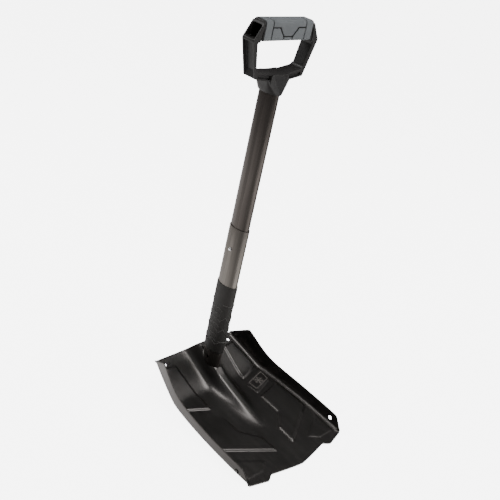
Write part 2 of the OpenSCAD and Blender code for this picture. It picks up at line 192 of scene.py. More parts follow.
def arc(cx, cy, r, start, end, steps=8):
    turns = np.radians(np.linspace(start, end, steps + 1))
    return [(cx + r * math.cos(t), cy + r * math.sin(t)) for t in turns]


def rod(name, centre, direction, radius, length, count=48):
    """A closed cylinder centred on a point, along a direction."""
    turn = Vector((0, 0, 1)).rotation_difference(Vector(direction)).to_matrix()
    ring = [Vector((radius * math.cos(t), radius * math.sin(t), 0)) for t in ring_turns(count)]
    points = [Vector(centre) + turn @ (p + Vector((0, 0, s * length / 2)))
              for s in (-1, 1) for p in ring]
    return mesh_piece(name, points, drum_faces(count))


def lathe(name, profile, base, direction, count=48):
    """A solid turned from (radius, distance) pairs, both ends on the axis."""
    turn = Vector((0, 0, 1)).rotation_difference(Vector(direction)).to_matrix()
    points = []
    for radius, along in profile:
        for t in ring_turns(count):
            spot = Vector((radius * math.cos(t), radius * math.sin(t), along))
            points.append(Vector(base) + turn @ spot)
    faces = ring_faces(len(profile), count)
    faces.append(list(range(count))[::-1])
    faces.append([(len(profile) - 1) * count + i for i in range(count)])
    return mesh_piece(name, points, faces)


def finish_piece(piece, body, slot, material, *nodes):
    piece.data.materials.clear()
    piece.data.materials.append(material)
    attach(piece, body)
    if nodes:
        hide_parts(*nodes)
    return piece


# ---------------------------------------------------------------- materials

def new_material(name, colour, roughness, metallic=0.0):
    """A Principled material. Returns (material, nodes, links, shader)."""
    material = bpy.data.materials.new(name)
    material.use_nodes = True
    nodes, links = material.node_tree.nodes, material.node_tree.links
    shader = nodes["Principled BSDF"]
    shader.inputs["Base Color"].default_value = (*colour, 1)
    shader.inputs["Roughness"].default_value = roughness
    shader.inputs["Metallic"].default_value = metallic
    return material, nodes, links, shader


def object_noise(nodes, links, scale, detail=4.0, stretch=(1, 1, 1)):
    """Noise over the piece's own coordinates, in noise cells per metre."""
    where = nodes.new("ShaderNodeTexCoord")
    mapping = nodes.new("ShaderNodeMapping")
    mapping.inputs["Scale"].default_value = stretch
    noise = nodes.new("ShaderNodeTexNoise")
    noise.inputs["Scale"].default_value = scale
    noise.inputs["Detail"].default_value = detail
    links.new(where.outputs["Object"], mapping.inputs["Vector"])
    links.new(mapping.outputs["Vector"], noise.inputs["Vector"])
    return noise


def ramp(nodes, links, source, low, high, dark, light):
    """A colour ramp on a noise's factor, or a grey one if dark and light are numbers."""
    node = nodes.new("ShaderNodeValToRGB")
    for stop, position, tone in zip(node.color_ramp.elements, (low, high), (dark, light)):
        stop.position = position
        stop.color = (tone, tone, tone, 1) if isinstance(tone, (int, float)) else (*tone, 1)
    links.new(source, node.inputs["Fac"])
    return node.outputs["Color"]


def bump(nodes, links, shader, heights, strength, distance_mm):
    node = nodes.new("ShaderNodeBump")
    node.inputs["Strength"].default_value = strength
    node.inputs["Distance"].default_value = distance_mm * MM
    links.new(heights, node.inputs["Height"])
    links.new(node.outputs["Normal"], shader.inputs["Normal"])


def blade_black():
    """Satin black anodised aluminium, a little uneven and faintly scuffed."""
    material, nodes, links, shader = new_material("blade_black", (0.1, 0.094, 0.09), 0.34, 1.0)
    cloud = object_noise(nodes, links, 18, 3)
    links.new(ramp(nodes, links, cloud.outputs["Fac"], 0.3, 0.75, (0.088, 0.083, 0.08),
                   (0.112, 0.106, 0.102)), shader.inputs["Base Color"])
    scuff = object_noise(nodes, links, 160, 6, (1, 0.16, 1))
    links.new(ramp(nodes, links, scuff.outputs["Fac"], 0.35, 0.8, 0.3, 0.39),
              shader.inputs["Roughness"])
    grain = object_noise(nodes, links, 2600, 2)
    bump(nodes, links, shader, grain.outputs["Fac"], 0.25, 0.05)
    return material


def anodised(name, dark, light):
    """Satin anodised tube with faint drawing lines along its length."""
    material, nodes, links, shader = new_material(name, dark, 0.36, 0.9)
    lines = object_noise(nodes, links, 900, 4, (1, 1, 0.02))
    links.new(ramp(nodes, links, lines.outputs["Fac"], 0.3, 0.7, dark, light),
              shader.inputs["Base Color"])
    cloud = object_noise(nodes, links, 60, 4, (1, 1, 0.3))
    links.new(ramp(nodes, links, cloud.outputs["Fac"], 0.3, 0.75, 0.33, 0.43),
              shader.inputs["Roughness"])
    bump(nodes, links, shader, lines.outputs["Fac"], 0.12, 0.03)
    return material


def moulded(name, dark, light, roughness, grain_scale, grain_depth):
    """Moulded plastic or rubber: fine grain, with slight patches of shine."""
    material, nodes, links, shader = new_material(name, dark, roughness)
    shader.inputs["Specular IOR Level"].default_value = 0.35
    cloud = object_noise(nodes, links, 45, 4)
    links.new(ramp(nodes, links, cloud.outputs["Fac"], 0.3, 0.75, dark, light),
              shader.inputs["Base Color"])
    patches = object_noise(nodes, links, 90, 3)
    links.new(ramp(nodes, links, patches.outputs["Fac"], 0.3, 0.8, roughness - 0.06,
                   roughness + 0.08), shader.inputs["Roughness"])
    grain = object_noise(nodes, links, grain_scale, 3)
    bump(nodes, links, shader, grain.outputs["Fac"], 0.5, grain_depth)
    return material


def steel(name, colour, roughness):
    """Bright metal with fine turning marks."""
    material, nodes, links, shader = new_material(name, colour, roughness, 1.0)
    marks = object_noise(nodes, links, 2200, 3, (0.1, 1, 1))
    links.new(ramp(nodes, links, marks.outputs["Fac"], 0.3, 0.7, roughness - 0.05,
                   roughness + 0.1), shader.inputs["Roughness"])
    bump(nodes, links, shader, marks.outputs["Fac"], 0.15, 0.02)
    return material


BLADE_BLACK = blade_black()
LOWER_METAL = anodised("lower_tube_gunmetal", (0.165, 0.15, 0.137), (0.2, 0.183, 0.168))
UPPER_METAL = anodised("upper_tube_gunmetal", (0.08, 0.069, 0.064), (0.102, 0.09, 0.083))
SLEEVE_RUBBER = moulded("sleeve_rubber", (0.03, 0.028, 0.026), (0.04, 0.037, 0.035),
                        0.6, 2200, 0.06)
# The ribs' rubber is a little less rough than the sleeve's, and lighter: the lighter tone is a
# painted highlight on the ribs.
SLEEVE_RIB_HIGHLIGHT = moulded("sleeve_rib_painted_highlight", (0.075, 0.072, 0.07), (0.095, 0.09, 0.087), 0.5, 2200, 0.06)
HANDLE_PLASTIC = moulded("handle_plastic", (0.015, 0.014, 0.014), (0.022, 0.02, 0.02),
                         0.48, 2600, 0.05)
GRIP_RUBBER = moulded("grip_rubber", (0.14, 0.15, 0.158), (0.17, 0.182, 0.19),
                      0.62, 2400, 0.07)
BUSH_PLASTIC = moulded("bush_plastic", (0.01, 0.01, 0.01), (0.016, 0.016, 0.016),
                       0.45, 2000, 0.03)
WELD_BEAD = steel("weld_bead", (0.09, 0.085, 0.08), 0.5)
EMBLEM_GREY = steel("emblem_grey", (0.3, 0.28, 0.265), 0.45)
SPRING_STEEL = steel("spring_steel", (0.5, 0.5, 0.51), 0.3)
BUTTON_STEEL = steel("button_steel", (0.85, 0.85, 0.86), 0.16)
SCREW_STEEL = steel("screw_steel", (0.12, 0.12, 0.12), 0.35)


# ---------------------------------------------------------------- blade

# The floor, from its back edge to the tip, in two slopes that meet at a bend.
BACK_Y, TIP_Y = 46.0, -240.0
BACK_SLOPE, FRONT_SLOPE = math.tan(math.radians(23.7)), math.tan(math.radians(2.6))
BEND_Y, BEND_Z, BEND_BLEND = -32.0, 11.8, 1.5

# The fold between floor and wall, and how it draws in from where the blade is widest.
FOLD_R, FOLD_A = 7.0, math.radians(84)
WIDEST_X, WIDEST_Y, TAPER, TAPER_RUN, TAPER_POWER = 112.3, -165, 23.3, 210, 2.2

# The wall's top edge: lines at the back and the front, each as height, y and slope. It comes
# up to them from a low stub at each end.
WALL_BACK, WALL_FRONT, WALL_BLEND = (68, 10, 0.72), (29, -114, 0.05), 8.8
WALL_END_Y, WALL_STUB = -226.5, 1.2
FULL_BACK_Y, FULL_FRONT_Y, END_BLEND = 10.0, -211.0, 1.0
WALL_LEAN = 0.1

# The socket tunnel. Its ridge falls away from the crest to the nose, where it narrows too.
TUNNEL_H, TUNNEL_W = 27.0, 15.0
CREST_Y, NARROWING_Y, NOSE_Y = -22, -60, -149
SOCKET_GAP = 0.65

# The cutting edge: where the vee, the tab and the corner end across it. The first two are
# measured back from the tip, and the corner from the tab. Rows of the sheet's grid fan out
# to it from EDGE_ROWS_Y on.
VEE_X, VEE_DEPTH = 62, 11
TAB_X, TAB_DEPTH = 78, 4
CORNER_X, CORNER_DEPTH = 111, 8.5
EDGE_ROWS_Y = -185

# The lashing holes: at (x, y) in the floor, and at (x, y, z) in the walls.
BACK_HOLE, BACK_HOLE_R = (75.5, 34.8), 3.0
SIDE_HOLE, SIDE_HOLE_R, WALL_NORMAL = (113.1, -200, 13.4), 4.0, (0.9946, -0.0278, -0.0995)


def soft_max(a, b, k):
    return (a + b) / 2 + np.sqrt(((a - b) / 2) ** 2 + k * k)


def soft_min(a, b, k):
    return -soft_max(-a, -b, k)


def ease(t):
    t = np.clip(t, 0, 1)
    return t * t * (3 - 2 * t)


def floor_z(y):
    return soft_max(BEND_Z + BACK_SLOPE * (y - BEND_Y), BEND_Z + FRONT_SLOPE * (y - BEND_Y),
                    BEND_BLEND)


def fold_x(y):
    return WIDEST_X - TAPER * np.abs((y - WIDEST_Y) / TAPER_RUN) ** TAPER_POWER


def wall_curve_z(y):
    lines = [z + slope * (y - at) for z, at, slope in (WALL_BACK, WALL_FRONT)]
    return soft_max(*lines, WALL_BLEND)


def wall_top_z(y):
    stub_back, stub_front = floor_z(BACK_Y) + WALL_STUB, floor_z(WALL_END_Y) + WALL_STUB
    back = np.interp(-y, [-BACK_Y, -FULL_BACK_Y], [stub_back, wall_curve_z(FULL_BACK_Y)])
    back = back + np.maximum(0, FULL_BACK_Y - y)
    front = np.interp(y, [WALL_END_Y, FULL_FRONT_Y], [stub_front, wall_curve_z(FULL_FRONT_Y)])
    front = front + np.maximum(0, y - FULL_FRONT_Y) * 1.2
    return soft_min(wall_curve_z(y), soft_min(back, front, END_BLEND), 1.2)


def tunnel_z(x, y):
    """Height of the socket tunnel above the floor."""
    ridge = TUNNEL_H * np.clip((y - NOSE_Y) / (CREST_Y - NOSE_Y), 0, 1) ** 1.25
    along_nose = np.clip((NARROWING_Y - y) / (NARROWING_Y - NOSE_Y), 0, 1)
    nose = np.sqrt(np.clip(1 - along_nose ** 2.5, 0.005, 1))
    # square-shouldered round the socket, and rounder towards the nose
    roundness = 5 - 2.3 * ease((10 - y) / 130)
    return ridge / (1 + (np.abs(x) / (TUNNEL_W * nose)) ** roundness)


def edge_y(x):
    """The cutting edge: a shallow V with a square tab at each corner."""
    x = np.abs(x)
    vee = TIP_Y + VEE_DEPTH * np.clip(x / VEE_X, 0, 1) ** 1.2
    turn = math.pi * np.clip((x - VEE_X) / (TAB_X - VEE_X), 0, 1)
    tab = TIP_Y + VEE_DEPTH - (VEE_DEPTH - TAB_DEPTH) * (1 - np.cos(turn)) / 2
    past_tab = np.clip((x - TAB_X) / (CORNER_X - TAB_X), 0, 1)
    corner = TIP_Y + TAB_DEPTH + CORNER_DEPTH * past_tab
    return np.where(x < VEE_X, vee, np.where(x < TAB_X, tab, corner))


def inside_distance(x, y, outline):
    """Distance to an outline's edge, positive inside it."""
    best = np.full(x.shape, 1e9)
    inside = np.zeros(x.shape, bool)
    for (ax, ay), (bx, by) in zip(outline, outline[1:] + outline[:1]):
        ex, ey = bx - ax, by - ay
        t = np.clip(((x - ax) * ex + (y - ay) * ey) / (ex * ex + ey * ey), 0, 1)
        best = np.minimum(best, np.hypot(x - ax - t * ex, y - ay - t * ey))
        crosses = (ay > y) != (by > y)
        with np.errstate(divide="ignore", invalid="ignore"):
            inside ^= crosses & (x < ax + (y - ay) * ex / (ey if ey else 1e-9))
    return np.where(inside, best, -best)


# Raised stampings on the floor: their height, how wide their sloping edges are, and their
# outlines in (x, y).
STAMP_H, STAMP_EDGE = 2.0, 3.0
BACK_PANEL_RIGHT = [(57, 25), (79, 27), (86, 5), (91, -14), (90, -29), (63, -38), (51, -41)]
BACK_PANEL_LEFT = [(-59, 25), (-79, 27), (-97, -10), (-104, -47), (-55, -70), (-54, -38)]
FRONT_PANEL_RIGHT = [(48, -92), (48, -135), (22, -165), (20, -198), (110, -145), (110, -78)]
FRONT_PANEL_LEFT = [(-48, -82), (-48, -135), (-22, -165), (-20, -198), (-110, -145), (-112, -75)]
CORNER_PANEL = [(110, -171), (60, -200), (53, -205), (70, -217), (112, -217)]

# The emblem's pad, the step beside it, and the crystal on it. The crystal's reaches are in x
# and y, because it is drawn a little flat.
EMBLEM_PAD = [(50, -53), (96, -41), (94, -66), (52, -77)]
EMBLEM_STEP = [(45, -58), (48, -83), (92, -69), (94, -63), (52, -75), (50, -58)]
EMBLEM_PAD_H, EMBLEM_STEP_H, EMBLEM_T = 0.8, 1.0, 0.5
ARM_REACH, ARM_HALF = np.array((10, 8.6)), 0.9
TWIG_FOOT, TWIG_REACH, TWIG_HALF = np.array((5.2, 4.5)), np.array((3.6, 3.1)), 0.6


def emblem_z(x, y):
    """A plain raised pad beside a stepped edge."""
    pad = EMBLEM_PAD_H * ease((inside_distance(x, y, EMBLEM_PAD) + 0.6) / 1.2)
    return pad + EMBLEM_STEP_H * ease(inside_distance(x, y, EMBLEM_STEP) / 0.9)


def shrink(outline, distance):
    """The outline with every edge moved in."""
    result = []
    for k, corner in enumerate(outline):
        here = Vector(corner)
        before = (here - Vector(outline[k - 1])).normalized()
        after = (Vector(outline[(k + 1) % len(outline)]) - here).normalized()
        inward = Vector((before.y, -before.x)) + Vector((after.y, -after.x))
        inward /= max(0.3, 1 + before.dot(after))
        result.append(tuple(here + inward * distance))
    return result


def floor_plate(name, outline, low, high):
    """A thin plate that follows the floor, from low to high above it."""
    piece = prism(name, outline, 0, 1, "z")
    for k, vertex in enumerate(piece.data.vertices):
        x, y = outline[k % len(outline)]
        vertex.co.z = (float(floor_z(y)) + (low if k < len(outline) else high)) * MM
    return piece


def heading(turn):
    return np.array((math.cos(turn), math.sin(turn)))


def strip(start, end, turn, half_width):
    """The outline of a straight bar from start to end, with its ends square to turn."""
    side = half_width * heading(turn + math.pi / 2)
    return [start - side, end - side, end + side, start + side]


def emblem():
    """A border and a six-armed snow crystal, with two twigs on each arm."""
    root, top = EMBLEM_PAD_H - 0.4, EMBLEM_PAD_H + EMBLEM_T
    rim = shrink(EMBLEM_PAD, 1.6)
    piece = floor_plate("blade_emblem", rounded(rim, 2), root, top)
    hole = floor_plate("inside", rounded(shrink(rim, 1.8), 1.5), root - 2, top + 2)
    combine(piece, hole, "DIFFERENCE")
    centre = np.mean(EMBLEM_PAD, axis=0)
    parts = [piece]
    for k in range(3):
        turn = math.radians(15 + 60 * k)
        reach = ARM_REACH * heading(turn)
        bar = strip(centre - reach, centre + reach, turn, ARM_HALF)
        parts.append(floor_plate("arm", bar, root, top))
        for end in (-1, 1):
            foot = centre + end * TWIG_FOOT * heading(turn)
            for lean in (-50, 50):
                out = turn + math.radians(lean)
                twig = strip(foot, foot + end * TWIG_REACH * heading(out), out, TWIG_HALF)
                parts.append(floor_plate("twig", twig, root, top))
    piece = joined(parts)
    shade(piece, 35)
    finish_piece(piece, "blade_assembly", "weld_bead", EMBLEM_GREY)


def stamping_z(x, y):
    """Height of the raised panels. The left front one fades in from the back, and the corner
    ones are shallow."""
    corner_left = [(-px, py) for px, py in CORNER_PANEL]
    height = np.zeros(x.shape)
    fading = ease((-85 - y) / 45)
    for outline, part in ((BACK_PANEL_RIGHT, 1), (BACK_PANEL_LEFT, 1), (FRONT_PANEL_RIGHT, 1),
                          (FRONT_PANEL_LEFT, fading), (CORNER_PANEL, 0.3), (corner_left, 0.2)):
        rise = np.clip(inside_distance(x, y, outline) / STAMP_EDGE + 0.5, 0, 1)
        height = np.maximum(height, part * (0.7 * rise + 0.3 * ease(rise)))
    to_fold = fold_x(y) - FOLD_R - np.abs(x)
    return STAMP_H * height * ease(to_fold / 5) + emblem_z(x, y)


def sheet_surface():
    """The blade's upper face as a grid of points, shape (rows, columns, 3)."""
    floor_half = np.linspace(0, 1, 92)
    fold_half = np.linspace(0, 1, 9)[1:]
    wall_half = np.linspace(0, 1, 14)[1:]
    back_rows = np.linspace(BACK_Y, EDGE_ROWS_Y, 190)
    edge_rows = np.linspace(EDGE_ROWS_Y, WALL_END_Y, 46)[1:]
    y0 = np.concatenate([back_rows, edge_rows])[:, None]
    base = floor_z(y0)
    fold = fold_x(y0)
    top = np.maximum(wall_top_z(y0), base + 0.5)
    r = np.minimum(FOLD_R, top - base)
    # floor columns; the back edge draws in over the tunnel, and the front rows fan out to the
    # cutting edge
    x = (fold - r) * floor_half[None, :]
    recede, recede_y = 0.6 * tunnel_z(x, np.full_like(x, BACK_Y)), 14
    y = y0 - recede * ease((y0 - recede_y) / (BACK_Y - recede_y))
    reach = np.clip((EDGE_ROWS_Y - y0) / (EDGE_ROWS_Y - WALL_END_Y), 0, 1)
    to_edge = edge_y(x * CORNER_X / (fold - r)) - EDGE_ROWS_Y
    y = np.where(y0 < EDGE_ROWS_Y, EDGE_ROWS_Y + to_edge * reach, y)
    flat = np.stack([x, y, floor_z(y) + tunnel_z(x, y)], -1)
    # fold and wall columns
    a = FOLD_A * fold_half[None, :]
    curl = np.stack([fold - r + r * np.sin(a), y0 + 0 * a, base + r * (1 - np.cos(a))], -1)
    x1, z1 = fold - r + r * math.sin(FOLD_A), base + r * (1 - math.cos(FOLD_A))
    rise = np.maximum(top - z1, 0.3) * wall_half[None, :]
    wall = np.stack([x1 + WALL_LEAN * rise, y0 + 0 * rise, z1 + rise], -1)
    half = np.concatenate([flat, curl, wall], 1)
    mirrored = half[:, :0:-1] * np.array([-1, 1, 1])
    grid = np.concatenate([mirrored, half], 1)
    floor_part = np.abs(grid[..., 0]) < fold - FOLD_R
    grid[..., 2] += np.where(floor_part, stamping_z(grid[..., 0], grid[..., 1]), 0)
    return grid


def grid_normals(grid):
    across = np.gradient(grid, axis=1)
    along = np.gradient(grid, axis=0)
    normal = np.cross(across, -along)
    return normal / np.linalg.norm(normal, axis=-1, keepdims=True)


def rim_of(rows, columns):
    """Grid indices round the sheet's edge, in order."""
    rim = [(0, c) for c in range(columns - 1)]
    rim += [(r, columns - 1) for r in range(rows - 1)]
    rim += [(rows - 1, c) for c in range(columns - 1, 0, -1)]
    rim += [(r, 0) for r in range(rows - 1, 0, -1)]
    return rim


def blade():
    grid = sheet_surface()
    normals = grid_normals(grid)
    rows, columns = grid.shape[:2]
    count = rows * columns
    points = np.concatenate([grid.reshape(-1, 3), (grid - SHEET_T * normals).reshape(-1, 3)])
    index = np.arange(count).reshape(rows, columns)
    quads = np.stack([index[:-1, :-1], index[:-1, 1:], index[1:, 1:], index[1:, :-1]], -1)
    quads = quads.reshape(-1, 4)
    faces = quads.tolist() + (quads[:, ::-1] + count).tolist()
    # a rounded edge all round
    rim = rim_of(rows, columns)
    ring = np.array([grid[i] - SHEET_T / 2 * normals[i] for i in rim])
    up = np.array([normals[i] for i in rim])
    ahead = np.roll(ring, -1, 0) - np.roll(ring, 1, 0)
    out = np.cross(ahead, up)
    out /= np.linalg.norm(out, axis=1, keepdims=True)
    centre = ring.mean(0)
    out *= np.sign(np.sum(out * (ring - centre), axis=1).mean())
    loops = [[int(index[i]) for i in rim]]
    for angle in (50, 90, 130):
        c, s = math.cos(math.radians(angle)), math.sin(math.radians(angle))
        start = len(points)
        points = np.concatenate([points, ring + SHEET_T / 2 * (c * up + s * out)])
        loops.append(list(range(start, start + len(rim))))
    loops.append([int(index[i]) + count for i in rim])
    for high, low in zip(loops, loops[1:]):
        for k in range(len(rim)):
            j = (k + 1) % len(rim)
            faces.append([high[j], high[k], low[k], low[j]])
    piece = mesh_piece("blade", points, faces, 50)
    socket = oval(LOWER_A + SOCKET_GAP, LOWER_B + SOCKET_GAP)
    cutters = [prism("socket_cut", socket, 22, 90, "z")]
    slope = math.atan(BACK_SLOPE)
    for side in (-1, 1):
        x, y = BACK_HOLE
        cutters.append(rod("back_cut", (side * x, y, floor_z(y)),
                           (0, -math.sin(slope), math.cos(slope)), BACK_HOLE_R, 12))
        x, y, z = SIDE_HOLE
        cutters.append(rod("side_cut", (side * x, y, z),
                           (side * WALL_NORMAL[0], *WALL_NORMAL[1:]), SIDE_HOLE_R, 14))
    combine(piece, joined(cutters), "DIFFERENCE")
    shade(piece, 50)
    return finish_piece(piece, "blade_assembly", "blade_black", BLADE_BLACK, "blade")


# ---------------------------------------------------------------- shaft

def tube(name, a, b, low, high, holes):
    """An oval tube with rounded lips. Holes are (side, height)."""
    lip, turn = 0.35, 0.1
    profile = [(0, low + lip), (0, high - lip), (-turn, high - turn), (-lip, high),
               (lip - WALL_T, high), (turn - WALL_T, high - turn), (-WALL_T, high - lip),
               (-WALL_T, low + lip), (turn - WALL_T, low + turn), (lip - WALL_T, low),
               (-lip, low), (-turn, low + turn)]
    count = 128
    points = []
    for inset, z in profile:
        points += [(x, y, z) for x, y in oval(a + inset, b + inset, count)]
    piece = mesh_piece(name, points, ring_faces(len(profile), count, closed=True), 50)
    for side, z in holes:
        combine(piece, rod("hole", (side * a, 0, z), (1, 0, 0), BUTTON_R + 0.05, 8), "DIFFERENCE")
    shade(piece, 40)
    return piece


def lower_tube():
    piece = tube("lower_tube", LOWER_A, LOWER_B, TUBE_LOW.z / MM, COLLAR_Z,
                 [(-1, TELESCOPE_Z), (-1, DETENT_Z), (1, RELEASE_Z)])
    finish_piece(piece, "lower_shaft", "lower_tube_gunmetal", LOWER_METAL, "lower_tube")


def upper_tube():
    piece = tube("upper_tube", UPPER_A, UPPER_B, UPPER_LOW.z / MM, UPPER_HIGH.z / MM,
                 [(-1, TELESCOPE_Z)])
    finish_piece(piece, "upper_shaft", "upper_tube_gunmetal", UPPER_METAL, "upper_tube")


def ridge(distance, half_width):
    """A low rounded rib along the line where distance is 0."""
    return np.clip(1 - (distance / half_width) ** 2, 0, 1) ** 0.5


# The sleeve's raised pattern: how far it stands out, the ribs' half widths, and how far each
# rib is below the sleeve's top.
SLEEVE_RELIEF, RIB_HALF, CHEVRON_HALF = 0.8, 0.9, 0.8
RING_DROP, LOW_RING_DROP, PEAK_DROPS = 36.6, 109.5, (60.0, 84.0)
CHEVRONS, CHEVRON_DROP, CHEVRON_STEP, BOTTOM_DROP = 7, 44, 10.5, 118


def sleeve_relief(around, z):
    """Height of the sleeve's raised pattern. around is 0 at the front, and grows to 90
    degrees at each side and 180 at the back. A rib's slope and its ends are in degrees from
    the front or the back."""
    from_top = SLEEVE_HIGH.z / MM - z
    face = np.minimum(around, 180 - around)
    # rings round the front and the back
    low_ring = from_top - LOW_RING_DROP - 2 * np.cos(np.radians(face))
    ribs = [ridge(from_top - RING_DROP, RIB_HALF) * ease((62 - face) / 6),
            ridge(low_ring, RIB_HALF) * ease((50 - face) / 6)]
    # peaks on the front and the back
    for drop_z in PEAK_DROPS:
        line = from_top - drop_z - 0.36 * np.abs(face - 34)
        ribs.append(ridge(line, RIB_HALF) * ease((62 - face) / 5))
    # chevrons down each side, with a peak under them
    for k in range(CHEVRONS):
        line = from_top - (CHEVRON_DROP + CHEVRON_STEP * k) - 0.28 * np.abs(face - 80)
        ribs.append(0.8 * ridge(line, CHEVRON_HALF) * ease((face - 56) / 5))
    bottom = from_top - BOTTOM_DROP + 0.25 * np.abs(face - 62)
    ribs.append(ridge(bottom, RIB_HALF) * ease((face - 30) / 5))
    return SLEEVE_RELIEF * np.max(ribs, axis=0)


def grip_sleeve():
    low, high = SLEEVE_LOW.z / MM, SLEEVE_HIGH.z / MM
    count, rows = 220, 340
    turns = ring_turns(count)
    t, zz = np.meshgrid(turns, np.linspace(low, high, rows))
    around = np.degrees(np.abs(np.arctan2(np.cos(t), -np.sin(t))))
    # both ends are rounded over
    lip_r, snug = 0.8, 0.02
    into_lip = (1 - np.minimum(zz - low, high - zz) / lip_r).clip(0, 1)
    lip = lip_r * (1 - np.sqrt(np.clip(1 - into_lip ** 2, 0, 1)))
    relief = sleeve_relief(around, zz)
    swell = relief - SLEEVE_RELIEF - lip
    outer = np.stack([(SLEEVE_A + swell) * np.cos(t), (SLEEVE_B + swell) * np.sin(t), zz], -1)
    inner = [[((LOWER_A + snug) * math.cos(a), (LOWER_B + snug) * math.sin(a), h) for a in turns]
             for h in (high, low)]
    points = np.concatenate([outer.reshape(-1, 3), np.array(inner).reshape(-1, 3)])
    faces = ring_faces(rows + 2, count, closed=True)
    piece = mesh_piece("grip_sleeve", points, faces, 60)
    finish_piece(piece, "lower_shaft", "sleeve_rubber", SLEEVE_RUBBER, "grip_sleeve")
    # The raised ribs take the lighter rubber, a painted highlight along them.
    piece.data.materials.append(SLEEVE_RIB_HIGHLIGHT)
    slots = np.zeros(len(faces), np.int32)
    slots[:rows * count] = (relief > 0.35 * SLEEVE_RELIEF).reshape(-1)
    piece.data.polygons.foreach_set("material_index", slots)


def snap_button(name, node, side, z, body):
    low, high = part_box(node)
    reach = max(abs(low.x), abs(high.x)) / MM
    root = min(abs(low.x), abs(high.x)) / MM
    length = reach - root
    dome_h = 1.4
    dome = [(BUTTON_R * math.cos(a), length - dome_h + dome_h * math.sin(a))
            for a in np.radians(np.linspace(0, 88, 9))]
    profile = [(BUTTON_R, 0), (BUTTON_R, length - dome_h - 0.4)] + dome
    piece = lathe(name, profile, (side * root, 0, z), (side, 0, 0))
    finish_piece(piece, body, "button_steel", BUTTON_STEEL, node)


# ---------------------------------------------------------------- handle

# The frame's front and back faces, and the corners of its outline, down from the top.
HANDLE_Y0, HANDLE_Y1 = -12.7, 11.8
GRIP_Z = PANEL_HIGH.z / MM
TOP_Z = GRIP_Z - 3.7
TOP_X, WIDE_X, WIDE_Z = 52.0, 66.8, TOP_Z - 24.3
FOOT_X, FOOT_Z = 49.9, TOP_Z - 78.4
YOKE_X, YOKE_Z = 23.5, TOP_Z - 82.7
COLLAR_LOW_Z = TOP_Z - 103
# The hand hole's corners.
INNER_TOP_Z, INNER_TOP_X = TOP_Z - 25.5, 56.0
INNER_FOOT_Z, INNER_FOOT_X = TOP_Z - 68, 48.2
INNER_MID_Z = TOP_Z - 73.5
# The grip's section, and the rubber on its bar, which ends at BAR_END.
GRIP_TOP_R, GRIP_LOW_R = 5.2, 4.0
BAND_X0, BAND_X1, GROOVE = 34.7, 48.0, 1.9
PAD_X = BAND_X0 - GROOVE
PAD_PROUD = 2.0
BAR_END = BAND_X1 + 0.5
# The yoke's collar round the tube, and the half widths of its block at the top, foot and waist.
COLLAR_T, COLLAR_H = 2.6, 3.5
BLOCK_TOP_X, BLOCK_FOOT_X, WAIST_X, WAIST_Z = 17.6, 18.5, 13.3, COLLAR_LOW_Z + 9.5


def both_sides(half):
    return half + [(-x, z) for x, z in reversed(half)]


def rounded(outline, radius, steps=5):
    """The outline with each corner rounded off."""
    result = []
    for k, corner in enumerate(outline):
        here = Vector(corner)
        before = Vector(outline[k - 1]) - here
        after = Vector(outline[(k + 1) % len(outline)]) - here
        reach = min(radius, before.length * 0.45, after.length * 0.45)
        start, end = here + before.normalized() * reach, here + after.normalized() * reach
        for i in range(steps + 1):
            t = i / steps
            spot = start * (1 - t) ** 2 + here * 2 * t * (1 - t) + end * t * t
            result.append((spot.x, spot.y))
    return result


def grip_section(inset):
    """Rounded section of the grip in (y, z)."""
    y0, y1 = HANDLE_Y0 + inset, HANDLE_Y1 - inset
    low, high = INNER_TOP_Z + inset, GRIP_Z - inset
    top_r, low_r = max(GRIP_TOP_R - inset, 2.5), max(GRIP_LOW_R - inset, 1.5)
    section = arc(y1 - low_r, low + low_r, low_r, -90, 0, 5)
    section += arc(y1 - top_r, high - top_r, top_r, 0, 90, 9)
    section += arc(y0 + top_r, high - top_r, top_r, 90, 180, 9)
    section += arc(y0 + low_r, low + low_r, low_r, 180, 270, 5)
    return section


def hull(name, points):
    """The smallest convex solid round some points."""
    work = bmesh.new()
    for point in in_frame(points):
        work.verts.new(point)
    bmesh.ops.convex_hull(work, input=work.verts)
    bmesh.ops.delete(work, geom=[v for v in work.verts if not v.link_faces], context="VERTS")
    mesh = bpy.data.meshes.new(name)
    work.to_mesh(mesh)
    work.free()
    piece = bpy.data.objects.new(name, mesh)
    bpy.context.scene.collection.objects.link(piece)
    outward(piece)
    return piece


def leg_chamfer(side, y_face, y_deep):
    """A cutter that slants the inner edge of a leg's front or rear face."""
    points = []
    for x, z in ((INNER_TOP_X, INNER_TOP_Z - 1), (INNER_FOOT_X, INNER_FOOT_Z + 4)):
        past = y_face + (y_face - y_deep) * 0.5
        points += [(side * (x - 3), y_deep, z), (side * x, y_deep, z), (side * (x + 3), y_face, z),
                   (side * (x + 4.5), past, z), (side * (x - 3), past, z)]
    return hull("chamfer", points)


def hand_hole():
    """Outline of the hand hole, with round corners and a foot that dips to the middle."""
    r = 6
    top = arc(INNER_TOP_X - r, INNER_TOP_Z - r, r, 90, 0, 6)
    foot = arc(INNER_FOOT_X - r, INNER_FOOT_Z + r, r, 0, -80, 6)
    dip = [(24, INNER_MID_Z + 2.3), (14, INNER_MID_Z + 0.9), (5, INNER_MID_Z + 0.3)]
    return both_sides(top + foot + dip)


